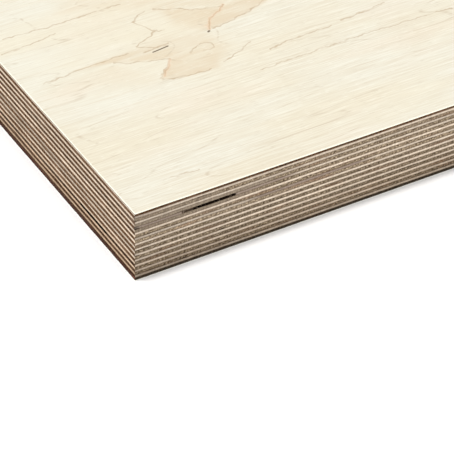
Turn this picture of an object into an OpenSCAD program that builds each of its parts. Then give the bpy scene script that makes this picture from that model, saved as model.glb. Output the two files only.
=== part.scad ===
// A thick plywood sheet: a core of cross-laid birch veneers, faced on both sides with a
// decorative veneer. Millimetres. The origin is the centre of the underside, +X runs along the
// grain of the face and +Z points up, through the face.

/* [Sheet] */
// Length of the sheet, along the grain of the face
sheet_length = 600; // [250:10:2500]
// Width of the sheet, across the grain of the face
sheet_width = 400; // [200:10:1525]

/* [Lay-up] */
// Number of veneers in the core, odd so that both sides of the core match
core_plies = 25; // [13:2:49]
// Thickness of one inner veneer of the core
ply_thickness = 1.4; // [1:0.1:3]
// Thickness of the first and last veneer of the core, which are sanded
sanded_ply_thickness = 1; // [0.6:0.1:2]
// Thickness of the decorative veneer on the face and on the back
face_veneer_thickness = 0.6; // [0.5:0.1:1.5]
// Width of the sanded bevel round the outer edges of the face and the back
arris_bevel = 0.2; // [0.1:0.05:0.4]

/* [Gap in the long edge] */
// Core veneer that the gap is in, counted from the face
long_edge_gap_ply = 6; // [1:1:13]
// Distance of the gap from the front left corner
long_edge_gap_start = 22; // [10:1:150]
// Length of the gap's mouth
long_edge_gap_mouth = 26; // [17:1:60]
// Depth of the gap, which is also the radius of its far corners
long_edge_gap_depth = 8; // [1:0.5:8]

/* [Gap in the end edge] */
// Core veneer that the gap is in, counted from the back
end_edge_gap_ply = 6; // [1:1:13]
// Distance of the gap from the front left corner
end_edge_gap_start = 25; // [10:1:120]
// Length of the gap's mouth
end_edge_gap_mouth = 23; // [17:1:60]
// Depth of the gap, which is also the radius of its far corners
end_edge_gap_depth = 7; // [1:0.5:8]

/* [Hidden] */
$fn = 48;
// How far a cut reaches past the surface that it opens
cut_over = 1;

core_thickness = (core_plies - 2) * ply_thickness + 2 * sanded_ply_thickness;
core_base = face_veneer_thickness;
sheet_thickness = core_thickness + 2 * face_veneer_thickness;

PLY_NAMES = [for (n = [1:core_plies]) str("core_ply_", n < 10 ? "0" : "", n)];

// Core veneers are numbered from the face down. The odd ones lie across the sheet.
function lies_across(n) = n % 2 == 1;
function is_sanded(n) = n == 1 || n == core_plies;
function thickness_of(n) = is_sanded(n) ? sanded_ply_thickness : ply_thickness;
// Height of the underside of core veneer n
function underside_of(n) = core_base + core_thickness
    - sanded_ply_thickness
    - (n - 1) * ply_thickness
    + (n == core_plies ? ply_thickness - sanded_ply_thickness : 0);

// Outline of the sheet, centred on the origin
module sheet_outline() {
    square([sheet_length, sheet_width], center = true);
}

// Outline of a gap between two strips of a veneer. Its mouth lies on the X axis and starts at
// the origin, and its far corners are round.
module gap_outline(mouth, depth) {
    translate([depth, -cut_over]) square([mouth - 2 * depth, depth + cut_over]);
    for (x = [depth, mouth - depth]) translate([x, 0]) circle(r = depth);
}

module long_edge_gap() {
    translate([-sheet_length / 2 + long_edge_gap_start, -sheet_width / 2])
        gap_outline(long_edge_gap_mouth, long_edge_gap_depth);
}

module end_edge_gap() {
    translate([-sheet_length / 2, -sheet_width / 2 + end_edge_gap_start])
        mirror([1, -1, 0])
            gap_outline(end_edge_gap_mouth, end_edge_gap_depth);
}

module core_ply(n) {
    color(lies_across(n) ? "BurlyWood" : "Wheat")
        translate([0, 0, underside_of(n)])
            linear_extrude(thickness_of(n))
                difference() {
                    sheet_outline();
                    if (n == long_edge_gap_ply) long_edge_gap();
                    if (n == core_plies + 1 - end_edge_gap_ply) end_edge_gap();
                }
}

// Section of an outer veneer that is width across, with the bevel on its upper corners
module bevelled_section(width) {
    half = width / 2;
    top = face_veneer_thickness;
    polygon([
        [-half, 0], [half, 0], [half, top - arris_bevel], [half - arris_bevel, top],
        [arris_bevel - half, top], [-half, top - arris_bevel]
    ]);
}

// A decorative veneer lying on the XY plane with its bevelled side up
module outer_veneer() {
    intersection() {
        rotate([90, 0, 0]) linear_extrude(sheet_width, center = true)
            bevelled_section(sheet_length);
        rotate([90, 0, 90]) linear_extrude(sheet_length, center = true)
            bevelled_section(sheet_width);
    }
}

module face_veneer() {
    color("Cornsilk")
        translate([0, 0, core_base + core_thickness]) outer_veneer();
}

module back_veneer() {
    color("Cornsilk")
        translate([0, 0, core_base]) mirror([0, 0, 1]) outer_veneer();
}

face_veneer();
for (n = [1:core_plies]) core_ply(n);
back_veneer();
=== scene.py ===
"""Looks of a thick plywood sheet: a cross-laid birch core between a face and a back veneer.

Each veneer is one closed surface that is carried along the outline of its CAD solid and stays inside it.
Lengths are metres in the frame of the CAD model: +X along the grain of the face, +Z up.
"""

import math

import bpy
import numpy as np
from mathutils import Matrix, Vector


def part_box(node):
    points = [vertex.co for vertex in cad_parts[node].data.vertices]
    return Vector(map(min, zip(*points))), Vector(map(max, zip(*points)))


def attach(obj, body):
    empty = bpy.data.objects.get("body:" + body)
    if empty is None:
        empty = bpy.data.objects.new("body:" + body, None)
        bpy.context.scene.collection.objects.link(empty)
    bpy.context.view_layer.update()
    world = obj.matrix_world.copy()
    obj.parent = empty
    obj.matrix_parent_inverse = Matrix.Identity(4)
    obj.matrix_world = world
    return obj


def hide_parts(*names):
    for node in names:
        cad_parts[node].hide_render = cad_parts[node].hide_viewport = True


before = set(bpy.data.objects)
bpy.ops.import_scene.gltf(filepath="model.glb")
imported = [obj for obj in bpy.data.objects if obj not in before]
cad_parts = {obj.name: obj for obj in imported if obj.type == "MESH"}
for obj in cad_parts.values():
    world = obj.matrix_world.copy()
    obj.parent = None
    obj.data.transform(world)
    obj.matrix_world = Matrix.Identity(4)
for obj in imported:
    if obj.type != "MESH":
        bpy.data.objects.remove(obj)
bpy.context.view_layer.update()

MM = 0.001
LOW, HIGH = np.array(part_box("back_veneer")[0]), np.array(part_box("face_veneer")[1])
LENGTH, WIDTH = (HIGH - LOW)[:2]
CORE = sorted(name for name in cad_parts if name.startswith("core_ply_"))
# Steps along an edge: an end-grain edge is rough and needs short ones.
END_STEP, LONG_STEP = 1.3 * MM, 4.0 * MM
# Heights of the rows of an edge, as shares of the veneer's thickness.
ROWS = np.array([0, 0.1, 0.36, 0.64, 0.9, 1])
# Depth of the glue line between two veneers, in mm, in each row.
GROOVE = 0.05 * np.abs(2 * ROWS - 1) ** 8
# Least depth of an edge under its outline, in mm, so that it stays inside the CAD solid.
LEAST_DEPTH = 0.003
# How far the hidden loops on a veneer's glued faces lie inside its outline.
INSET = 14 * MM
# The core veneer with a gap in the long edge.
LONG_EDGE_GAP = "core_ply_06"


# ---------------------------------------------------------------- random lines


def wander(at, step, rng):
    """Smooth random line from -1 to 1: random heights every step along it, joined by s-curves."""
    heights = rng.uniform(-1, 1, int(at.max() / step) + 3)
    index = (at / step).astype(int)
    part = at / step - index
    part = part * part * (3 - 2 * part)
    return heights[index] * (1 - part) + heights[index + 1] * part


def bell(at, centre, half_width):
    """1 at centre, and 1/e at half_width from it."""
    return np.exp(-(((at - centre) / half_width) ** 2))


def smooth_step(at, start, end):
    """0 before start, 1 after end, and an s-curve between them."""
    part = np.clip((at - start) / (end - start), 0, 1)
    return part * part * (3 - 2 * part)


# ---------------------------------------------------------------- cut edges


def torn_out(along, spacing, half_widths, depths, power, rng):
    """Depth in mm of what is torn out of an edge, one row per place and one column per height.

    There is about one chip per spacing. A chip is a bell along the edge, and grows as a power of the
    height towards the glue line that it starts from.
    """
    depth = np.zeros((len(along), len(ROWS)))
    for centre in rng.uniform(0, along.max(), int(along.max() / spacing)):
        towards = ROWS if rng.random() < 0.5 else 1 - ROWS
        chip = bell(along, centre, rng.uniform(*half_widths) * MM) * rng.uniform(*depths)
        depth += chip[:, None] * towards**power
    return depth


def end_grain_depth(along, rng):
    """Depth of an end-grain edge under the outline, one row per place and one column per height: a
    fine roughness, a slower waviness and torn chips."""
    line = 0.06 + 0.03 * wander(along, END_STEP, rng) + 0.02 * wander(along, 11 * MM, rng)
    depth = line[:, None] + GROOVE + 0.02 * rng.uniform(-1, 1, (len(along), len(ROWS)))
    depth = depth + torn_out(along, 50 * MM, (0.8, 2.6), (0.1, 0.35), 2, rng)
    return np.maximum(depth, LEAST_DEPTH) * MM


def long_grain_depth(along, rng):
    """The same for an edge cut along the grain: a low, slow waviness and a few slivers gone."""
    line = 0.02 + 0.012 * wander(along, 25 * MM, rng) + 0.006 * wander(along, 5 * MM, rng)
    depth = line[:, None] + GROOVE + torn_out(along, 130 * MM, (3, 9), (0.08, 0.25), 3, rng)
    return np.maximum(depth, LEAST_DEPTH) * MM


def sides():
    """The four edges, anticlockwise from above: start corner, way along, way out and length."""
    (x0, y0), (x1, y1) = LOW[:2], HIGH[:2]
    return [
        (np.array([x0, y0]), np.array([1.0, 0.0]), np.array([0.0, -1.0]), LENGTH),
        (np.array([x1, y0]), np.array([0.0, 1.0]), np.array([1.0, 0.0]), WIDTH),
        (np.array([x1, y1]), np.array([-1.0, 0.0]), np.array([0.0, 1.0]), LENGTH),
        (np.array([x0, y1]), np.array([0.0, -1.0]), np.array([-1.0, 0.0]), WIDTH),
    ]


def gap_of(name, side):
    """Where the CAD veneer has a gap in this side: start and end of its mouth and its depth."""
    start, way, out, length = sides()[side]
    corners = np.array([v.co[:2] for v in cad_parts[name].data.vertices]) - start
    run, inward = corners @ way, -corners @ out
    near = 0.01 * MM
    mouth = run[(inward < near) & (run > MM) & (run < length - MM)]
    if not len(mouth):
        return None
    within = (run > mouth.min() - near) & (run < mouth.max() + near) & (inward < length / 4)
    return mouth.min(), mouth.max(), inward[within].max()


def gap_wall(mouth, depth, rng):
    """Path round a gap's wall, as distances along the edge and into it: a quarter circle, a straight
    back and a quarter circle, and a ragged line where the veneer is torn."""
    turn = np.linspace(0, math.pi / 2, 10)
    quarter = np.stack([depth * (1 - np.cos(turn)), depth * np.sin(turn)], 1)
    back = np.linspace(depth, mouth - depth, 12)[1:-1]
    back = np.stack([back, np.full(len(back), depth)], 1)
    wall = np.concatenate([quarter, back, (mouth, 0) + quarter[::-1] * (-1, 1)])
    wall[2:-2, 1] -= rng.uniform(0, 0.9, len(wall) - 4) * MM
    return wall


def way_round(name, crossing, rng):
    """The path round a core veneer, as a dictionary of arrays with one entry for each place.

    point: the place on the outline. moved: how far each row is carried into the wood. inner: the place
    that goes with it on a rectangle INSET inside. side and run: its side's number and the distance from
    that side's start. along: the length of the path so far, of total. inward: the depth in a gap. part:
    the share of the gap's mouth passed. out: the way out of its side. end_grain: true where the edge
    cuts the fibres.
    """
    parts = []
    at_corner = np.zeros((len(ROWS), 2))
    for side, (start, way, out, length) in enumerate(sides()):
        end_grain = (side % 2 == 0) == crossing
        run = np.linspace(0, length, int(round(length / (END_STEP if end_grain else LONG_STEP))) + 1)
        gap = gap_of(name, side)
        if gap:
            wall = gap_wall(gap[1] - gap[0], gap[2], rng)
            middle, half = (gap[0] + gap[1]) / 2, (gap[1] - gap[0]) / 2
            run = run[np.abs(run - middle) > half + 0.3 * MM]
            first = int((run < middle).sum())
            run = np.insert(run, first, gap[0] + wall[:, 0])
            here = slice(first, first + len(wall))
        inward, part = np.zeros(len(run)), np.zeros(len(run))
        spread = run.copy()
        outs = np.repeat(out[None], len(run), 0)
        if gap:
            inward[here] = wall[:, 1]
            part[here] = wall[:, 0] / (gap[1] - gap[0])
            spread[here] = np.linspace(gap[0], gap[1], len(wall))
            slope = np.gradient(wall, axis=0)
            slope /= np.linalg.norm(slope, axis=1)[:, None]
            outs[here][1:-1] = (way * slope[:, 1:] + out * slope[:, :1])[1:-1]
        depth = (end_grain_depth if end_grain else long_grain_depth)(run, rng)
        moved = -outs[:, None, :] * depth[:, :, None]
        moved[0] += at_corner
        at_corner = moved[-1]
        parts.append(
            {
                "point": start + way * run[:, None] - out * inward[:, None],
                "moved": moved,
                "inner": start - out * INSET + way * (INSET + spread * (1 - 2 * INSET / length))[:, None],
                "run": run,
                "inward": inward,
                "part": part,
                "out": np.repeat(out[None], len(run), 0),
                "end_grain": np.full(len(run), end_grain),
                "side": np.full(len(run), side),
            }
        )
    parts[0]["moved"][0] += at_corner
    path = {key: np.concatenate([part[key][:-1] for part in parts]) for key in parts[0]}
    steps_on = np.linalg.norm(np.roll(path["point"], -1, 0) - path["point"], axis=1)
    path["along"] = np.cumsum(steps_on) - steps_on
    path["total"] = steps_on.sum()
    return path


# ---------------------------------------------------------------- meshes


def make_mesh(name, places, faces, texture_places, surfaces, values, finishes):
    """An object from arrays: places of the vertices, faces as rows of corner numbers padded with -1,
    a texture place for every corner, each face's finish number and named values of the vertices."""
    mesh = bpy.data.meshes.new(name)
    real = faces >= 0
    counts = real.sum(1)
    mesh.vertices.add(len(places))
    mesh.vertices.foreach_set("co", places.astype(np.float32).ravel())
    mesh.loops.add(int(counts.sum()))
    mesh.loops.foreach_set("vertex_index", faces[real].astype(np.int32))
    mesh.polygons.add(len(faces))
    mesh.polygons.foreach_set("loop_start", (np.cumsum(counts) - counts).astype(np.int32))
    mesh.polygons.foreach_set("material_index", surfaces.astype(np.int32))
    mesh.update(calc_edges=True)
    layer = mesh.uv_layers.new(name="OFBake")
    layer.data.foreach_set("uv", texture_places[real].astype(np.float32).ravel())
    for key, value in values.items():
        store = mesh.attributes.new(key, "FLOAT", "POINT")
        store.data.foreach_set("value", value.astype(np.float32).ravel())
    for material in finishes:
        mesh.materials.append(material)
    mesh.polygons.foreach_set("use_smooth", np.ones(len(faces), bool))
    mesh.set_sharp_from_angle(angle=math.radians(35))
    mesh.validate()
    made = bpy.data.objects.new(name, mesh)
    bpy.context.scene.collection.objects.link(made)
    return made


def band(lower, upper):
    """Faces between two closed loops of vertex numbers, of the same count, facing out."""
    return np.stack([lower, np.roll(lower, -1), np.roll(upper, -1), upper], 1)


def fan(loop, centre, up):
    """Faces from a closed loop of vertex numbers to one vertex, facing up or down."""
    ahead = np.roll(loop, -1)
    first, second = (loop, ahead) if up else (ahead, loop)
    return np.stack([first, second, np.full(len(loop), centre), np.full(len(loop), -1)], 1)


def strip_places(path, low, high, lines, height_low, height_high):
    """Texture places for a band of faces along the path, cut into lines that lie above each other.

    The path is divided into that many lines of equal length. Across a line runs the distance along
    the path, and up a line the share of the height. A face belongs to the line that its middle is on.
    Each line keeps clear of the texture's sides and of the next line.
    """
    aside, apart = 0.05, 0.08
    start, count = path["along"], len(path["along"])
    end = start + np.diff(np.append(start, path["total"]))
    line_length = path["total"] / lines
    line = np.minimum(((start + end) / 2 / line_length).astype(int), lines - 1)
    left = aside + (1 - 2 * aside) * (start - line * line_length) / line_length
    right = aside + (1 - 2 * aside) * (end - line * line_length) / line_length
    tall = (high - low) / lines
    below = low + (line + apart + (1 - 2 * apart) * height_low) * tall
    above = low + (line + apart + (1 - 2 * apart) * height_high) * tall
    square = [(left, below), (right, below), (right, above), (left, above)]
    return np.stack([np.stack(np.broadcast_arrays(x, y), 1) for x, y in square], 1).reshape(count, 4, 2)


def hidden_places(path, low, high, kind):
    """Texture places for a glued face: a low band across the whole texture, as a ring or as a fan."""
    start = path["along"] / path["total"]
    end = np.append(start[1:], 1.0)
    below, above = np.full(len(start), low), np.full(len(start), high)
    if kind == "ring":
        corners = [(start, below), (end, below), (end, above), (start, above)]
    elif kind == "fan up":
        corners = [(start, below), (end, below), ((start + end) / 2, above), (end, above)]
    else:
        corners = [(end, below), (start, below), ((start + end) / 2, above), (end, above)]
    return np.stack([np.stack(corner, 1) for corner in corners], 1)


# ---------------------------------------------------------------- finishes


def node(tree, kind, values=None, **settings):
    """Adds a node. Values go to its inputs by name or number: a socket is linked, a number is set."""
    made = tree.nodes.new(kind)
    for key, value in settings.items():
        setattr(made, key, value)
    for key, value in (values or {}).items():
        if isinstance(value, bpy.types.NodeSocket):
            tree.links.new(value, made.inputs[key])
        else:
            made.inputs[key].default_value = value
    return made


def maths(tree, operation, *values, clamp=False):
    """A number worked out from others."""
    values = dict(enumerate(values))
    return node(tree, "ShaderNodeMath", values, operation=operation, use_clamp=clamp).outputs[0]


def vectors(tree, operation, first, second):
    """A place, a colour or a number worked out from two vectors. SCALE takes a number as the second."""
    values = {0: first, "Scale" if operation == "SCALE" else 1: second}
    made = node(tree, "ShaderNodeVectorMath", values, operation=operation)
    return made.outputs["Value" if operation in ("DISTANCE", "DOT_PRODUCT") else "Vector"]


def object_place(tree):
    """The place in the frame of the CAD model."""
    return node(tree, "ShaderNodeTexCoord").outputs["Object"]


def axes(tree, place):
    """The place's X, Y and Z."""
    return node(tree, "ShaderNodeSeparateXYZ", {0: place}).outputs


def ramp(tree, value, start, end, low=0.0, high=1.0):
    """Low up to start, high from end on, and an s-curve between them."""
    values = {"Value": value, "From Min": start, "From Max": end, "To Min": low, "To Max": high}
    return node(tree, "ShaderNodeMapRange", values, interpolation_type="SMOOTHSTEP").outputs[0]


def line_ramp(tree, value, start, end, low=0.0, high=1.0):
    """The same with a straight line between them."""
    values = {"Value": value, "From Min": start, "From Max": end, "To Min": low, "To Max": high}
    return node(tree, "ShaderNodeMapRange", values).outputs[0]


def mixed(tree, share, first, second, blend="MIX"):
    """Colour between first and second. The node's colour sockets go by number: 6, 7 and, going out, 2."""
    made = node(tree, "ShaderNodeMix", data_type="RGBA", blend_type=blend)
    for key, value in ((0, share), (6, first), (7, second)):
        if isinstance(value, bpy.types.NodeSocket):
            tree.links.new(value, made.inputs[key])
        else:
            made.inputs[key].default_value = value if key == 0 else (*value, 1)
    return made.outputs[2]


def noise(tree, place, scale=1.0, detail=2.0, rough=0.5):
    """Smooth random cloud round 0.5."""
    values = {"Vector": place, "Scale": scale, "Detail": detail, "Roughness": rough}
    return node(tree, "ShaderNodeTexNoise", values).outputs[0]


def value_of(tree, name):
    """A named value of the vertices, as make_mesh stores it."""
    return node(tree, "ShaderNodeAttribute", attribute_name=name).outputs["Fac"]


def group(name, inputs, outputs):
    """A new shader group with its input and output nodes. Kinds of sockets: Float, Vector or Color."""
    tree = bpy.data.node_groups.new(name, "ShaderNodeTree")
    for in_out, sockets in (("INPUT", inputs), ("OUTPUT", outputs)):
        for key, (kind, value) in sockets.items():
            socket = tree.interface.new_socket(key, in_out=in_out, socket_type="NodeSocket" + kind)
            if value is not None:
                socket.default_value = value
    return tree, tree.nodes.new("NodeGroupInput").outputs, tree.nodes.new("NodeGroupOutput").inputs


def use(tree, made, **values):
    """Places a shader group. An underscore stands for a space in the name of an input."""
    values = {key.replace("_", " "): value for key, value in values.items()}
    return node(tree, "ShaderNodeGroup", values, node_tree=made).outputs


def stretched(tree, place, x, y, z, shift=0.0):
    """The place measured in units of x, y and z metres, moved on by shift."""
    made = vectors(tree, "MULTIPLY", place, (1 / x, 1 / y, 1 / z))
    return vectors(tree, "ADD", made, (shift,) * 3) if shift else made


def edge_place(tree):
    """Place on a cut edge: distance along it, next to nothing, height. It works on all four edges."""
    x, y, z = axes(tree, object_place(tree))
    across = maths(tree, "MULTIPLY", maths(tree, "SUBTRACT", x, y), 0.02)
    return node(tree, "ShaderNodeCombineXYZ", {0: maths(tree, "ADD", x, y), 1: across, 2: z}).outputs[0]


# What a group's colour input holds until a colour is linked to it.
WOOD = (0.5, 0.4, 0.3, 1)


def glue_and_gap_shade_group():
    """Brown glue along both borders of a veneer's edge, from a share of its half height on, and painted shade
    inside a gap or a chip."""
    tree, given, result = group(
        "Glue lines and painted gap shade",
        {"Color": ("Color", WOOD), "Glue": ("Color", (0.09, 0.045, 0.02, 1)), "From": ("Float", 0.7)},
        {"Color": ("Color", None)},
    )
    height, recess_shade = value_of(tree, "height"), value_of(tree, "recess_shade")
    place = edge_place(tree)
    uneven = noise(tree, stretched(tree, place, 3 * MM, 1, 1.4 * MM), detail=3)
    border = maths(tree, "ABSOLUTE", maths(tree, "MULTIPLY_ADD", height, 2, -1))
    border = maths(tree, "ADD", border, line_ramp(tree, uneven, 0.3, 0.7, -0.12, 0.12))
    glue = ramp(tree, border, given["From"], maths(tree, "ADD", given["From"], 0.2), 0, 0.88)
    color = mixed(tree, glue, given["Color"], given["Glue"])
    # Painted shade: deep in a gap or a chip the colour goes almost black.
    color = mixed(tree, ramp(tree, recess_shade, 0.02, 0.75, 0, 0.93), color, (0.020, 0.012, 0.007))
    tree.links.new(color, result["Color"])
    return tree


def saw_group():
    """Fine upright marks of the saw, the same across all the veneers: darkens and lightens a colour."""
    tree, given, result = group(
        "Saw marks",
        {"Color": ("Color", WOOD), "Amount": ("Float", 0.2)},
        {"Color": ("Color", None)},
    )
    place = edge_place(tree)
    marks = noise(tree, stretched(tree, place, 0.9 * MM, 1, 9 * MM, 11), detail=2, rough=0.7)
    marks = line_ramp(tree, marks, 0.3, 0.7, -1, 1)
    factor = maths(tree, "MULTIPLY_ADD", marks, given["Amount"], 1)
    tree.links.new(vectors(tree, "SCALE", given["Color"], factor), result["Color"])
    return tree


def finish(name, roughness, shine=0.3):
    """A new material, its tree and its shader."""
    made = bpy.data.materials.new(name)
    made.use_nodes = True
    shader = made.node_tree.nodes["Principled BSDF"]
    shader.inputs["Roughness"].default_value = roughness
    shader.inputs["Specular IOR Level"].default_value = shine
    return made, made.node_tree, shader


def redder_below(tree, color, share):
    """The lower veneers are of redder wood, all the more where share is 1, and there the lowest is a
    dark red brown."""
    height = axes(tree, object_place(tree))[2]
    amount = maths(tree, "MULTIPLY_ADD", share, 0.65, 0.35)
    lower = maths(tree, "MULTIPLY", amount, ramp(tree, height, 14 * MM, 3 * MM))
    lowest = maths(tree, "MULTIPLY", share, ramp(tree, height, 2.0 * MM, 1.5 * MM))
    color = mixed(tree, lower, color, (1.04, 0.91, 0.78), "MULTIPLY")
    return mixed(tree, lowest, color, (1.8, 0.6, 0.4), "MULTIPLY")


def edge_values(tree):
    """How light a veneer's edge is, how stained, and 1 for a veneer whose end grain is reddish."""
    return [value_of(tree, name) for name in ("tone", "stain", "reddish")]


def end_grain_finish():
    """Cut ends of the fibres: dark, with short upright streaks, fine checks and slow patches."""
    made, tree, shader = finish("end grain", 0.8, 0.05)
    place = edge_place(tree)
    tone, stain, reddish = edge_values(tree)
    fibres = noise(tree, stretched(tree, place, 0.95 * MM, 1, 0.9 * MM), detail=3, rough=0.65)
    patches = noise(tree, stretched(tree, place, 20 * MM, 1, 3.2 * MM, 7), detail=2)
    color = mixed(tree, reddish, (0.262, 0.200, 0.130), (0.110, 0.052, 0.022))
    light = mixed(tree, reddish, (0.50, 0.395, 0.275), (0.23, 0.122, 0.062))
    dark = mixed(tree, reddish, (0.10, 0.068, 0.04), (0.045, 0.020, 0.008))
    color = mixed(tree, ramp(tree, fibres, 0.51, 0.63), color, light)
    color = mixed(tree, ramp(tree, fibres, 0.49, 0.37), color, dark)
    color = mixed(tree, ramp(tree, patches, 0.52, 0.72, 0, 0.65), color, (0.27, 0.155, 0.095))
    color = mixed(tree, stain, color, (0.30, 0.24, 0.18))
    cells = {"Vector": stretched(tree, place, 2.1 * MM, 1, 3.5 * MM, 3), "Scale": 1.0}
    checks = node(tree, "ShaderNodeTexVoronoi", cells, feature="DISTANCE_TO_EDGE").outputs["Distance"]
    color = mixed(tree, ramp(tree, checks, 0.05, 0.0, 0, 0.45), color, (0.07, 0.045, 0.028))
    color = redder_below(tree, color, reddish)
    color = vectors(tree, "SCALE", color, tone)
    color = use(tree, GROUPS["saw"], Color=color, Amount=0.2)["Color"]
    color = use(tree, GROUPS["glue"], Color=color, From=0.82)["Color"]
    tree.links.new(color, shader.inputs["Base Color"])
    tree.links.new(ramp(tree, fibres, 0.2, 0.8, 0.86, 0.72), shader.inputs["Roughness"])
    return made


def long_grain_finish():
    """Edge cut along the fibres: light, with thin level streaks, and dull where it is stained."""
    made, tree, shader = finish("edge along the grain", 0.6, 0.15)
    place = edge_place(tree)
    tone, stain, reddish = edge_values(tree)
    streaks = noise(tree, stretched(tree, place, 7 * MM, 1, 0.3 * MM), detail=3, rough=0.6)
    hairs = noise(tree, stretched(tree, place, 0.6 * MM, 1, 0.9 * MM, 5), detail=2)
    color = mixed(tree, ramp(tree, streaks, 0.3, 0.7), (0.70, 0.55, 0.40), (0.90, 0.76, 0.60))
    color = mixed(tree, ramp(tree, hairs, 0.45, 0.68, 0, 0.5), color, (0.50, 0.37, 0.25))
    patches = noise(tree, stretched(tree, place, 14 * MM, 1, 2 * MM, 2), detail=2)
    color = mixed(tree, ramp(tree, patches, 0.5, 0.8, 0, 0.35), color, (0.62, 0.47, 0.34))
    worn = maths(tree, "MULTIPLY_ADD", line_ramp(tree, hairs, 0.3, 0.7, -0.2, 0.2), stain, stain, clamp=True)
    color = mixed(tree, worn, color, (0.32, 0.215, 0.15))
    # The veneers that run along the sheet are greyer than the crossing ones.
    color = mixed(tree, maths(tree, "MULTIPLY", reddish, 0.13), color, (0.72, 0.72, 0.72))
    color = redder_below(tree, color, maths(tree, "SUBTRACT", 1, reddish))
    color = vectors(tree, "SCALE", color, tone)
    color = use(tree, GROUPS["saw"], Color=color, Amount=0.16)["Color"]
    # The glue lines are wide on the long edges, and narrow and red on the short ones.
    glue = mixed(tree, reddish, (0.13, 0.068, 0.032), (0.22, 0.152, 0.098))
    glue = vectors(tree, "SCALE", glue, tone)
    width = line_ramp(tree, reddish, 0, 1, 0.62, 0.49)
    color = use(tree, GROUPS["glue"], Color=color, Glue=glue, From=width)["Color"]
    tree.links.new(color, shader.inputs["Base Color"])
    tree.links.new(ramp(tree, streaks, 0.2, 0.8, 0.7, 0.58), shader.inputs["Roughness"])
    return made


def glued_finish():
    """A veneer's flat face, dark with the glue soaked into it and painted darker still, near black, as shade.
    It shows only in the depth of the gaps.
    """
    made, tree, shader = finish("glued face", 0.7, 0.1)
    soaked = noise(tree, object_place(tree), scale=5, detail=1)
    # Painted shade: both colours are near black, as the depth of a gap is dark.
    color = mixed(tree, soaked, (0.022, 0.012, 0.006), (0.038, 0.023, 0.013))
    tree.links.new(color, shader.inputs["Base Color"])
    tree.links.new(line_ramp(tree, soaked, 0.2, 0.8, 0.75, 0.65), shader.inputs["Roughness"])
    return made


# The distance in mm that a search for the nearest line starts from. Lines further away count as this far.
FAR = 99.0


def nearest_line_group():
    """The smaller of the distance so far and the distance from the place to a straight line piece."""
    inputs = {key: ("Vector", None) for key in ("Place", "Start", "End")}
    inputs["Distance"] = ("Float", FAR)
    tree, given, result = group("Nearest line", inputs, {"Distance": ("Float", None)})
    way = vectors(tree, "SUBTRACT", given["End"], given["Start"])
    here = vectors(tree, "SUBTRACT", given["Place"], given["Start"])
    along = vectors(tree, "DOT_PRODUCT", here, way)
    whole = vectors(tree, "DOT_PRODUCT", way, way)
    share = maths(tree, "DIVIDE", along, whole, clamp=True)
    apart = vectors(tree, "DISTANCE", here, vectors(tree, "SCALE", way, share))
    tree.links.new(maths(tree, "MINIMUM", apart, given["Distance"]), result["Distance"])
    return tree


def nearest(tree, place, lines):
    """Distance in mm from the place to the nearest of the lines, each a row of places (x, y)."""
    so_far = FAR
    for line in lines:
        for (x0, y0), (x1, y1) in zip(line, line[1:]):
            ends = {"Start": (x0, y0, 0), "End": (x1, y1, 0)}
            so_far = use(tree, GROUPS["nearest"], Place=place, Distance=so_far, **ends)["Distance"]
    return so_far


# The figure of the face, in mm from a corner of the sheet: growth lines, lines with a red tint,
# an open split and a pin knot.
GROWTH_LINES = [
    [(73, 125), (65, 121), (67, 117), (71, 110), (66, 107), (57, 103), (61, 100), (69, 98)],
    [(71, 111), (72, 109), (75, 109)],
    [(9, 98), (36, 100), (52, 100)],
    [(58, 97), (66, 99), (71, 99)],
    [(43, 97), (49, 93), (58, 91), (67, 88), (63, 85), (57, 79), (55, 77), (58, 75), (66, 73), (78, 73)],
    [(78, 125), (93, 117), (106, 112)],
    [(76, 88), (80, 90), (84, 92), (88, 90), (87, 86), (82, 86)],
    [(94, 99), (107, 101), (124, 107), (150, 116)],
    [(9, 136), (40, 135), (67, 136)],
    [(24, 14), (38, 13)],
    [(3, 126), (18, 127), (31, 129)],
    [(108, 73), (119, 75), (141, 76)],
    [(147, 77), (172, 80)],
    [(96, 62), (150, 63), (196, 62)],
    [(86, 75), (96, 79), (103, 82)],
]
RED_LINES = [[(107, 113), (104, 110), (97, 107), (93, 102), (92, 99)], [(67, 88), (60, 81), (57, 78)]]
SPLIT = ((62, 96), (70, 97))
PIN_KNOT = (91, 98)
# The browner wood: its outline, how brown it is, and the growth lines that it stops sharply at.
BROWN_WOOD = [
    (
        [(24, 100), (43, 97), (58, 91), (67, 88), (60, 81), (55, 77)]
        + [(62, 73), (82, 72), (94, 84), (90, 101), (72, 104), (52, 102)],
        1.0,
        [[(24, 100), (43, 97), (58, 91), (67, 88), (60, 81), (55, 77), (62, 73), (78, 73)]],
    ),
    (
        [(92, 99), (85, 102), (80, 109), (80, 124), (93, 117)]
        + [(106, 112), (170, 128), (170, 122), (113, 102)],
        1.0,
        [[(92, 99), (113, 103), (170, 122)], [(88, 119), (106, 112)]],
    ),
    ([(10, 98), (42, 96), (57, 77), (50, 70), (36, 80), (5, 88)], 0.4, [[(43, 96), (57, 90)]]),
    ([(40, 140), (78, 126), (106, 113), (170, 130), (170, 165), (40, 165)], 0.6, [[(78, 126), (106, 113)]]),
]


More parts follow.
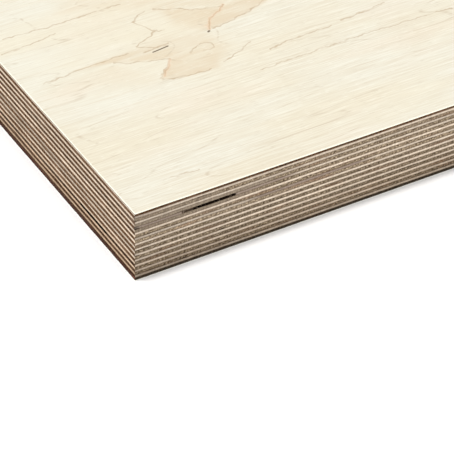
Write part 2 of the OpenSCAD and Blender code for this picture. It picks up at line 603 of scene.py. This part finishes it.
def figure_group():
    """Shaky growth lines, the red tint beside some of them, the black of the pin knot and black painted shade
    in the split.
    """
    tree, given, result = group(
        "Figure of the face",
        {"Place": ("Vector", None)},
        {"Lines": ("Float", None), "Red": ("Float", None), "Split shade and knot": ("Float", None)},
    )
    shake = {"Vector": given["Place"], "Scale": 0.22, "Detail": 2.0}
    shake = node(tree, "ShaderNodeTexNoise", shake).outputs["Color"]
    shake = vectors(tree, "MULTIPLY", vectors(tree, "SUBTRACT", shake, (0.5, 0.5, 0.5)), (5.0, 3.5, 0))
    place = vectors(tree, "ADD", given["Place"], shake)
    faint = noise(tree, given["Place"], scale=0.16, detail=2)
    growth = nearest(tree, place, GROWTH_LINES)
    red = nearest(tree, place, RED_LINES)
    lines = ramp(tree, maths(tree, "MINIMUM", growth, red), 0.55, 0.12)
    lines = maths(tree, "MULTIPLY", lines, ramp(tree, faint, 0.3, 0.6, 0.35, 1.0))
    tree.links.new(lines, result["Lines"])
    tree.links.new(ramp(tree, red, 1.2, 0.1), result["Red"])
    # Painted shade in the open split.
    split = ramp(tree, nearest(tree, given["Place"], [SPLIT]), 0.5, 0.22)
    knot = nearest(tree, given["Place"], [(PIN_KNOT, (PIN_KNOT[0] + 0.6, PIN_KNOT[1] + 0.3))])
    tree.links.new(maths(tree, "MAXIMUM", split, ramp(tree, knot, 0.75, 0.3)), result["Split shade and knot"])
    return tree


def flecks_group():
    """Short dashes along the grain, one in a share of the cells of a stretched pattern."""
    tree, given, result = group(
        "Flecks",
        {"Place": ("Vector", None), "Share": ("Float", 0.4)},
        {"Flecks": ("Float", None)},
    )
    cells = {"Vector": given["Place"], "Scale": 1.0}
    cells = node(tree, "ShaderNodeTexVoronoi", cells, voronoi_dimensions="2D")
    chance = node(tree, "ShaderNodeSeparateColor", {0: cells.outputs["Color"]}).outputs
    present = maths(tree, "LESS_THAN", chance[0], given["Share"])
    size = line_ramp(tree, chance[1], 0, 1, 0.1, 0.24)
    inside = maths(tree, "SUBTRACT", 1, maths(tree, "DIVIDE", cells.outputs["Distance"], size), clamp=True)
    strength = maths(tree, "MULTIPLY", ramp(tree, inside, 0, 0.7), line_ramp(tree, chance[2], 0, 1, 0.3, 1))
    tree.links.new(maths(tree, "MULTIPLY", present, strength), result["Flecks"])
    return tree


def sanded_finish(name, shift, figures):
    """A sanded birch veneer: pale cream with long soft streaks, growth lines and fine short flecks.

    Figures say where the figure lies, as FACE_FIGURES does. Shift moves all the patterns of the wood.
    """
    made, tree, shader = finish(name, 0.5)
    place = object_place(tree)
    here = None
    for from_x, corner, turned in figures:
        laid = vectors(tree, "SUBTRACT", place, (*corner, 0))
        laid = vectors(tree, "MULTIPLY", laid, (turned[0] / MM, turned[1] / MM, 0))
        if here:
            beyond = maths(tree, "GREATER_THAN", axes(tree, place)[0], from_x)
            # The sockets of the two places go by number: 4, 5 and, going out, 1.
            here = node(tree, "ShaderNodeMix", {0: beyond, 4: here, 5: laid}, data_type="VECTOR").outputs[1]
        else:
            here = laid
    # The wood round the middle of a figure has weaker fibres.
    calm = ramp(tree, vectors(tree, "DISTANCE", here, (45, 112, 0)), 72, 28)
    clouds = noise(tree, stretched(tree, place, 90 * MM, 28 * MM, 1, shift), detail=3)
    blush = noise(tree, stretched(tree, place, 55 * MM, 20 * MM, 1, shift + 9), detail=2)
    streaks = noise(tree, stretched(tree, place, 95 * MM, 1.9 * MM, 1, shift), detail=4, rough=0.6)
    fibres = noise(tree, stretched(tree, place, 20 * MM, 0.55 * MM, 1, shift), detail=3, rough=0.6)
    color = mixed(tree, ramp(tree, clouds, 0.3, 0.7), (0.700, 0.680, 0.582), (0.695, 0.645, 0.512))
    color = mixed(tree, ramp(tree, blush, 0.5, 0.75, 0, 0.5), color, (0.72, 0.645, 0.530))
    color = mixed(tree, ramp(tree, streaks, 0.47, 0.75, 0, 0.55), color, (0.62, 0.545, 0.415))
    strong = line_ramp(tree, calm, 0, 1, 0.5, 0.28)
    dark_fibres = maths(tree, "MULTIPLY", ramp(tree, fibres, 0.35, 0.68), strong)
    color = mixed(tree, dark_fibres, color, (0.56, 0.485, 0.36))
    light_fibres = maths(tree, "MULTIPLY", ramp(tree, fibres, 0.45, 0.28), strong)
    color = mixed(tree, light_fibres, color, (0.76, 0.735, 0.645))
    # Painted highlight: where arris is 1, on the face's edge and arris, the colour is painted pale so that
    # the edge looks as bright as the lit face.
    color = mixed(tree, value_of(tree, "arris"), color, (0.98, 0.95, 0.79))
    patchy = noise(tree, stretched(tree, place, 26 * MM, 3.5 * MM, 1, shift + 13), detail=3)
    mottled = maths(tree, "MULTIPLY", value_of(tree, "brown"), ramp(tree, patchy, 0.3, 0.62, 0.45, 1.1))
    color = mixed(tree, maths(tree, "MULTIPLY", mottled, 0.62), color, (0.595, 0.475, 0.32))
    # Long growth lines: levels of a slow, stretched noise.
    slow = noise(tree, stretched(tree, place, 210 * MM, 34 * MM, 1, shift + 3), detail=1.5)
    level = maths(tree, "PINGPONG", maths(tree, "MULTIPLY", slow, 12.0), 0.5)
    long_lines = maths(tree, "MULTIPLY", ramp(tree, level, 0.035, 0.0), ramp(tree, streaks, 0.4, 0.62))
    color = mixed(tree, maths(tree, "MULTIPLY", long_lines, 0.45), color, (0.45, 0.36, 0.25))
    cells = stretched(tree, place, 10 * MM, 0.8 * MM, 1, shift)
    fine = use(tree, GROUPS["flecks"], Place=cells, Share=0.28)["Flecks"]
    color = mixed(tree, maths(tree, "MULTIPLY", fine, 0.4), color, (0.36, 0.28, 0.18))
    # Painted sheen: pale flecks where the fibres catch the light.
    cells = stretched(tree, place, 7 * MM, 1.1 * MM, 1, shift + 5)
    sheen_flecks = use(tree, GROUPS["flecks"], Place=cells, Share=0.4)["Flecks"]
    color = mixed(tree, maths(tree, "MULTIPLY", sheen_flecks, 0.6), color, (0.78, 0.755, 0.665))
    drawn = use(tree, GROUPS["figure"], Place=here)
    color = mixed(tree, maths(tree, "MULTIPLY", drawn["Red"], 0.36), color, (0.70, 0.42, 0.25))
    color = mixed(tree, maths(tree, "MULTIPLY", drawn["Lines"], 0.6), color, (0.40, 0.28, 0.16))
    # The pin knot's own dark colour, and painted shade in the open split.
    color = mixed(tree, maths(tree, "MULTIPLY", drawn["Split shade and knot"], 0.88), color, (0.10, 0.062, 0.03))
    tree.links.new(color, shader.inputs["Base Color"])
    tree.links.new(ramp(tree, fibres, 0.2, 0.8, 0.58, 0.48), shader.inputs["Roughness"])
    bump = node(tree, "ShaderNodeBump", {"Strength": 0.3, "Distance": 0.05 * MM, "Height": fibres})
    tree.links.new(bump.outputs["Normal"], shader.inputs["Normal"])
    return made


GROUPS = {}
GROUPS["glue"] = glue_and_gap_shade_group()
GROUPS["saw"] = saw_group()
GROUPS["nearest"] = nearest_line_group()
GROUPS["figure"] = figure_group()
GROUPS["flecks"] = flecks_group()
END_GRAIN, LONG_GRAIN, GLUED_FACE = end_grain_finish(), long_grain_finish(), glued_finish()


# ---------------------------------------------------------------- the core

# Numbers of a core veneer's finishes.
END, LONG, GLUED = range(3)
# How light each core veneer's two kinds of edge are, from the face down: along the grain, end grain. The
# lowest few get darker as painted shade towards the floor, and the last is near black, partly its own dark
# end grain and partly painted shade where the sheet meets the floor.
TONES = [
    (0.83, 0.80), (0.88, 1.07), (0.93, 1.02), (0.80, 0.77), (0.90, 0.97), (0.85, 0.90), (0.88, 0.98),
    (1.02, 0.72), (1.03, 1.00), (0.80, 0.97), (0.92, 1.12), (0.98, 1.02), (0.69, 0.82), (0.98, 1.05),
    (0.72, 0.77), (1.00, 1.03), (0.91, 0.87), (0.78, 1.00), (0.86, 0.64), (0.80, 0.47), (0.81, 0.71),
    (0.65, 0.60), (0.61, 0.60), (0.53, 0.45), (0.045, 0.16),
]  # fmt: skip
# Small chips beside the corner between the front and the left edge: veneer, side, place and depth in mm.
CHIPS = [
    ("core_ply_02", 0, 0.6, 0.5), ("core_ply_03", 0, 0.3, 0.35), ("core_ply_05", 0, 0.5, 0.3),
    ("core_ply_06", 0, 0.2, 0.5), ("core_ply_10", 3, 399.6, 0.3), ("core_ply_16", 0, 0.4, 0.35),
]  # fmt: skip
# Stained stretches of edges: veneer, side, start and end on that side in mm, and how much.
STAINS = [
    ("core_ply_06", 0, -5, 80, 0.9),
    ("core_ply_10", 0, 52, 116, 0.95),
    ("core_ply_02", 0, -5, 14, 0.5),
    ("core_ply_03", 0, -5, 45, 0.5),
    ("core_ply_05", 0, -5, 70, 0.8),
    ("core_ply_07", 0, -5, 60, 0.7),
]


def opening(name, part, rng):
    """How much of the veneer's height a gap leaves open along its mouth: 0 none, above 1 all of it.

    The long edge's gap starts narrow and ends bluntly. The end edge's gap is open all along.
    """
    if name == LONG_EDGE_GAP:
        share = 0.35 + 0.65 * smooth_step(part, 0.02, 0.35)
    else:
        share = 1.1 + 0.1 * np.abs(2 * part - 1)
    return share + 0.2 * rng.uniform(-1, 1, len(part))


def core_ply(name, number):
    """A closed shell: a loop on the flat face below, the rows of the edge and a loop on the face above.

    In a gap, a row is filled up to the edge where it lies further from mid-height than the gap is open.
    """
    rng = np.random.default_rng(100 + number)
    crossing = number % 2 == 1
    (_, _, low), (_, _, high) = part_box(name)
    path = way_round(name, crossing, rng)
    count = len(path["run"])
    level = np.ones(count)
    loops = [np.column_stack([path["inner"], level * low])]
    recess_shade = [level * 0]
    open_share = opening(name, path["part"], rng)
    for row, share in enumerate(ROWS):
        filled = path["inward"] * (1 - smooth_step(open_share - abs(2 * share - 1), -0.1, 0.15))
        chipped = level * 0
        for veneer, side, place, depth in CHIPS:
            if veneer == name:
                chipped += (path["side"] == side) * depth * MM * bell(path["run"], place * MM, 0.7 * MM)
        place = path["point"] + path["moved"][:, row] + path["out"] * (filled - chipped)[:, None]
        loops.append(np.column_stack([place, level * (low + share * (high - low))]))
        # Painted shade: how far a place lies inside a gap or a chip sets how dark it is painted.
        recess_shade.append(np.clip((path["inward"] - filled) / (5 * MM) + chipped / (0.8 * MM), 0, 1))
    recess_shade.append(level * 0)
    loops.append(np.column_stack([path["inner"], level * high]))
    x, y = (LOW[:2] + HIGH[:2]) / 2
    places = np.concatenate(loops + [[(x, y, low), (x, y, high)]])
    loop = [np.arange(count) + k * count for k in range(len(loops))]
    faces, textures, surfaces = [], [], []

    def add(new, texture, surface):
        faces.append(new)
        textures.append(texture)
        surfaces.append(np.broadcast_to(surface, len(new)))

    for row, (below, above) in enumerate(zip(ROWS, ROWS[1:]), 1):
        texture = strip_places(path, 0, 0.9, 40, below, above)
        add(band(loop[row], loop[row + 1]), texture, np.where(path["end_grain"], END, LONG))
    add(band(loop[0], loop[1]), hidden_places(path, 0.905, 0.92, "ring"), GLUED)
    add(fan(loop[0], len(places) - 2, False), hidden_places(path, 0.93, 0.945, "fan down"), GLUED)
    add(band(loop[-2], loop[-1]), hidden_places(path, 0.955, 0.97, "ring"), GLUED)
    add(fan(loop[-1], len(places) - 1, True), hidden_places(path, 0.98, 0.995, "fan up"), GLUED)

    long_tone, end_tone = TONES[number - 1]
    tone = np.where(path["end_grain"], end_tone, long_tone)
    # The front edge is darker towards its first corner, its light veneers more than its dark ones.
    corner_darkening = np.where(path["end_grain"], 0.07, 0.19) * (path["side"] == 0)
    tone = tone * (1 - corner_darkening * (1 - smooth_step(path["run"], 0, 90 * MM)))
    tone = tone * (1 + 0.07 * wander(path["along"], 60 * MM, rng) + 0.05 * wander(path["along"], 9 * MM, rng))
    stain = 0.25 * np.clip(wander(path["along"], 35 * MM, rng) * 2 - 1, 0, 1)
    for veneer, side, start, end, amount in STAINS:
        if veneer == name:
            run = path["run"] / MM
            soft = smooth_step(run, start, start + 8) * smooth_step(run, end, end - 8)
            stain = np.maximum(stain, amount * soft * (path["side"] == side))

    def on_all(values):
        """The same values on each loop, and their mean on the two centres."""
        return np.concatenate([np.tile(values, len(loops)), [values.mean()] * 2])

    values = {
        "tone": on_all(tone),
        "stain": on_all(stain),
        "recess_shade": np.concatenate(recess_shade + [[0, 0]]),
        "reddish": np.full(len(places), 1.0 if number == 1 or not crossing else 0.0),
        "height": np.concatenate([np.repeat([0, *ROWS, 1], count), [0, 1]]),
    }
    made = make_mesh(
        name.replace("core_ply", "veneer"),
        places,
        np.concatenate(faces),
        np.concatenate(textures),
        np.concatenate(surfaces),
        values,
        [END_GRAIN, LONG_GRAIN, GLUED_FACE],
    )
    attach(made, "root")
    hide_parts(name)


for number, name in enumerate(CORE, 1):
    core_ply(name, number)


# ---------------------------------------------------------------- face and back veneer

# Where the figure lies on each face, in parts of the sheet along X: the X that a part starts at, the place
# of the figure's corner, and 1 or -1 for the way each axis is turned.
FACE_FIGURES = [(-1, (LOW[0], LOW[1]), (1, 1)), (0.02, (HIGH[0] - 0.045, HIGH[1] - 0.002), (-1, -1))]
BACK_FIGURES = [(-1, (LOW[0] + 0.19, HIGH[1] - 0.02), (1, -1))]
# The stretch of a figure that has brown wood with sharp outlines: first and last X and Y, in mm.
BROWN_STRETCH = ((25, 71), (113, 119))
# Numbers of an outer veneer's finishes. The others follow the sanded one in a core veneer's order.
SANDED, OUTER_END, OUTER_LONG, OUTER_GLUED = range(4)


def distance(x, y, lines):
    """Distance from each place to the nearest straight piece of the lines."""
    so_far = np.full(x.shape, FAR)
    for line in lines:
        for (x0, y0), (x1, y1) in zip(line, line[1:]):
            way_x, way_y = x1 - x0, y1 - y0
            share = np.clip(((x - x0) * way_x + (y - y0) * way_y) / (way_x**2 + way_y**2), 0, 1)
            so_far = np.minimum(so_far, np.hypot(x - x0 - share * way_x, y - y0 - share * way_y))
    return so_far


def brown_wood(x, y, figures):
    """How brown the face is at each place, from 0 to 1.

    A place is inside an outline where a line to the right crosses the outline an odd number of times.
    The brown stops sharply at its growth lines, fades over some mm elsewhere, and fades away from them.
    """
    brown = np.zeros(x.shape)
    for _, corner, turned in figures:
        px, py = (x - corner[0]) * turned[0] / MM, (y - corner[1]) * turned[1] / MM
        for outline, amount, sharp in BROWN_WOOD:
            inside = np.zeros(x.shape, bool)
            for (x0, y0), (x1, y1) in zip(outline, outline[1:] + outline[:1]):
                if y1 != y0:
                    inside ^= ((y0 > py) != (y1 > py)) & (px < x0 + (py - y0) * (x1 - x0) / (y1 - y0))
            apart = distance(px, py, [outline + outline[:1]])
            signed = np.where(inside, apart, -apart)
            from_line = distance(px, py, sharp)
            soft = 1.6 + 9 * smooth_step(from_line, 1, 12)
            strength = amount * (0.62 + 0.38 * np.exp(-from_line / 12))
            brown = np.maximum(brown, strength * smooth_step(signed / soft, -0.4, 0.6))
    return brown


def face_depth(x, y, figures, rng):
    """Depth of the sanded face: a low waviness, a narrow valley at each split and a dent at each knot."""
    wave = wander(x - x.min(), 70 * MM, rng) + wander(y - y.min(), 12 * MM, rng) * 0.7
    depth = 0.012 + 0.006 * wave
    for _, corner, turned in figures:
        px, py = (x - corner[0]) * turned[0] / MM, (y - corner[1]) * turned[1] / MM
        depth = depth + 0.25 * np.clip(1 - distance(px, py, [SPLIT]) / 0.45, 0, 1)
        depth = depth + 0.15 * bell(np.hypot(px - PIN_KNOT[0], py - PIN_KNOT[1]), 0, 0.6)
    return depth * MM


def grid_lines(low, high, step, fine):
    """Places of a grid's lines: even steps from low to high, and short ones on the fine stretches."""
    lines = np.linspace(low, high, int(round((high - low) / step)) + 1)
    for start, end, short in fine:
        start, end = min(start, end), max(start, end)
        kept = lines[(lines < start - short) | (lines > end + short)]
        lines = np.concatenate([kept, np.linspace(start, end, int(round((end - start) / short)) + 1)])
    return np.sort(lines)


def fine_stretches(figures, axis):
    """Where a face's grid is finer along an axis, as start, end and step: at the brown wood, the splits
    and the knots. The finest ones come last, so that they stay."""
    step, short_step = ((1.5 * MM, 0.4 * MM), (1.2 * MM, 0.16 * MM))[axis]
    knot = (np.array(PIN_KNOT) - 1.2, np.array(PIN_KNOT) + 1.2)
    # The short steps go on for this many mm past a split's or a knot's ends.
    past = 0.6
    coarse, fine = [], []
    for _, corner, turned in figures:
        for start, end in (SPLIT, knot):
            ends = [corner[axis] + turned[axis] * at * MM for at in (start[axis] - past, end[axis] + past)]
            fine.append((*ends, short_step))
        ends = [corner[axis] + turned[axis] * at[axis] * MM for at in BROWN_STRETCH]
        coarse.append((*ends, step))
    return coarse + fine


def outer_veneer(name, upward, figures, material, seed):
    """A closed shell: a grid on the sanded face, a worn arris, the edge, and a loop and a fan on the
    glued face. Height runs from 0 on the glued face to the veneer's thickness on the sanded face."""
    rng = np.random.default_rng(seed)
    (_, _, low), (_, _, high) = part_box(name)
    thick = high - low
    # The face's arris is sanded round, and the back's is left sharper. Shares of the height of its rows,
    # how far its top lies inside the outline, and how much is worn off it, in mm.
    shares, inset, worn = ((0, 0.25, 0.45), 0.38 * MM, 0.12) if upward else ((0, 0.3, 0.62), 0.3 * MM, 0.04)
    xs = grid_lines(LOW[0] + inset, HIGH[0] - inset, 3 * MM, fine_stretches(figures, 0))
    ys = grid_lines(LOW[1] + inset, HIGH[1] - inset, 3 * MM, fine_stretches(figures, 1))
    across, down = len(xs), len(ys)
    grid_x, grid_y = [part.ravel() for part in np.meshgrid(xs, ys)]
    number = np.arange(across * down).reshape(down, across)
    border = np.concatenate([number[0, :-1], number[:-1, -1], number[-1, :0:-1], number[:0:-1, 0]])
    count = len(border)
    column, row = border % across, border // across
    side_x = np.where(column == 0, -1, np.where(column == across - 1, 1, 0))
    side_y = np.where(row == 0, -1, np.where(row == down - 1, 1, 0))
    outline = np.column_stack([grid_x[border], grid_y[border]])
    outline[side_x != 0, 0] = (LOW[0] + HIGH[0]) / 2 + side_x[side_x != 0] * LENGTH / 2
    outline[side_y != 0, 1] = (LOW[1] + HIGH[1]) / 2 + side_y[side_y != 0] * WIDTH / 2
    sides_out = np.column_stack([side_x, side_y])
    steps_on = np.linalg.norm(np.roll(outline, -1, 0) - outline, axis=1)
    along = np.cumsum(steps_on) - steps_on
    ragged = np.where((side_x != 0)[:, None], end_grain_depth(along, rng), long_grain_depth(along, rng))
    wear = (worn + 0.02 * wander(along, 30 * MM, rng) + 0.01 * wander(along, 4 * MM, rng)) * MM

    def at_height(height):
        """Z of a height above the glued face."""
        return low + height if upward else high - height

    top = thick - face_depth(grid_x, grid_y, figures, rng)
    places = [np.column_stack([grid_x, grid_y, at_height(top)])]
    centre = (LOW[:2] + HIGH[:2]) / 2
    inner = centre + (outline - centre) * (1 - 2 * INSET / np.array([LENGTH, WIDTH]))
    loops = [np.column_stack([inner, np.full(count, at_height(0))])]
    for share, depth in zip(shares, ragged.T[[0, 2, 3]]):
        place = outline - sides_out * depth[:, None]
        loops.append(np.column_stack([place, np.full(count, at_height(share * thick))]))
    # The arris starts 0.05 mm inside the outline and 0.1 mm below the face, and its wear adds to both.
    place = outline - sides_out * (0.05 * MM + wear)[:, None]
    loops.append(np.column_stack([place, at_height(thick - 0.1 * MM - wear)]))
    loop = [np.arange(count) + len(grid_x) + k * count for k in range(len(loops))]
    places = np.concatenate(places + loops + [[(*centre, at_height(0))]])

    path = {"along": along, "total": steps_on.sum()}
    end_face = (side_x != 0) & (np.roll(side_x, -1) != 0)
    square = np.stack([number[:-1, :-1], number[:-1, 1:], number[1:, 1:], number[1:, :-1]], -1).reshape(-1, 4)
    spread = np.column_stack(
        [0.004 + 0.992 * (grid_x - LOW[0]) / LENGTH, 0.1 + 0.896 * (grid_y - LOW[1]) / WIDTH]
    )
    faces = [square]
    textures = [spread[square]]
    surfaces = [np.full(len(square), SANDED)]
    # The face's whole edge takes the sanded finish, painted pale there as a highlight, while the back's takes
    # the edge finishes next to its glued face, darkened almost to black as painted shade at the floor.
    kinds = SANDED if upward else np.where(end_face, OUTER_END, OUTER_LONG)
    edge = [*loop[1:], border]
    for row, kind in enumerate((kinds, kinds, SANDED, SANDED)):
        faces.append(band(edge[row], edge[row + 1]))
        textures.append(strip_places(path, 0, 0.065, 8, row / 4, (row + 1) / 4))
        surfaces.append(np.broadcast_to(kind, count))
    faces += [band(loop[0], loop[1]), fan(loop[0], len(places) - 1, False)]
    textures += [hidden_places(path, 0.07, 0.078, "ring"), hidden_places(path, 0.084, 0.094, "fan down")]
    surfaces += [np.full(count, OUTER_GLUED)] * 2
    faces, textures = np.concatenate(faces), np.concatenate(textures)
    if not upward:
        faces, textures = faces[:, ::-1], textures[:, ::-1]

    def on_all(face, around):
        """Values of the face's grid, the same values on each loop, and 0 on the glued face's centre."""
        return np.concatenate([face, np.tile(around, len(loops)), [0]])

    nothing = np.zeros(len(grid_x))
    values = {
        "brown": on_all(brown_wood(grid_x, grid_y, figures), np.zeros(count)),
        # Painted highlight on the edge rows and the arris.
        "arris": np.concatenate([nothing, np.repeat([0, 1, 1, 1, 1], count), [0]]),
        # Painted shade: 0.14 darkens the back's edge almost to black, where the sheet meets the floor.
        "tone": on_all(nothing + 1, (1.05 if upward else 0.14) * (1 + 0.08 * wander(along, 40 * MM, rng))),
        "stain": on_all(nothing, 0.3 * np.clip(wander(along, 30 * MM, rng) * 2 - 1, 0, 1)),
        "recess_shade": np.zeros(len(places)),
        "reddish": np.full(len(places), 0.0 if upward else 1.0),
        "height": np.concatenate([nothing + 0.6, np.repeat([0, 0, 0.3, 0.6, 0.6], count), [0]]),
    }
    finishes = [material, END_GRAIN, LONG_GRAIN, GLUED_FACE]
    made = make_mesh(name, places, faces, textures, np.concatenate(surfaces), values, finishes)
    made.name = name + "_surface"
    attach(made, "root")
    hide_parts(name)


outer_veneer("face_veneer", True, FACE_FIGURES, sanded_finish("sanded face", 0.0, FACE_FIGURES), 11)
outer_veneer("back_veneer", False, BACK_FIGURES, sanded_finish("sanded back", 31.0, BACK_FIGURES), 12)


# ---------------------------------------------------------------- floor, light and camera

# Half the floor's width, and its height, just under the sheet.
REACH, FLOOR = 30.0, -0.03 * MM
floor = bpy.data.objects.new("floor", bpy.data.meshes.new("floor"))
corners = [(-REACH, -REACH, FLOOR), (REACH, -REACH, FLOOR), (REACH, REACH, FLOOR), (-REACH, REACH, FLOOR)]
floor.data.from_pydata(corners, [], [(0, 1, 2, 3)])
bpy.context.scene.collection.objects.link(floor)
floor_finish, floor_tree, floor_shader = finish("white floor", 0.9)
cloud = noise(floor_tree, object_place(floor_tree), scale=2)
tint = mixed(floor_tree, cloud, (0.95, 0.95, 0.95), (0.97, 0.97, 0.97))
floor_tree.links.new(tint, floor_shader.inputs["Base Color"])
floor.data.materials.append(floor_finish)

world = bpy.data.worlds.new("studio")
bpy.context.scene.world = world
world.use_nodes = True
sky = world.node_tree
# The sky is brighter at the horizon than overhead.
up = axes(sky, node(sky, "ShaderNodeTexCoord").outputs["Generated"])[2]
sky.links.new(ramp(sky, up, 0.0, 0.5, 1.3, 0.88), sky.nodes["Background"].inputs["Strength"])
sky.nodes["Background"].inputs["Color"].default_value = (1, 1, 1, 1)

sun = bpy.data.objects.new("key light", bpy.data.lights.new("key light", "SUN"))
sun.data.energy = 1.5
sun.data.angle = math.radians(7)
bpy.context.scene.collection.objects.link(sun)
# The light comes from almost straight above, a little from -X.
towards_light = Vector((-0.17, 0.06, 1.0))
sun.rotation_euler = towards_light.to_track_quat("Z", "Y").to_euler()

camera = bpy.data.objects.new("camera", bpy.data.cameras.new("camera"))
bpy.context.scene.collection.objects.link(camera)
bpy.context.scene.camera = camera
camera.data.sensor_width = 36
camera.data.lens = 229.54
camera.data.clip_end = 100
# The way the camera looks, from +X towards +Y and down, and how it is tipped to one side, in degrees.
turned, down, tipped = 58.94, 38.48, 1.2825
camera.matrix_world = (
    Matrix.Translation((-0.74367, -1.00938, 0.76264))
    @ Matrix.Rotation(math.radians(turned - 90), 4, "Z")
    @ Matrix.Rotation(math.radians(90 - down), 4, "X")
    @ Matrix.Rotation(math.radians(tipped), 4, "Z")
)
bpy.context.scene.view_settings.view_transform = "Standard"
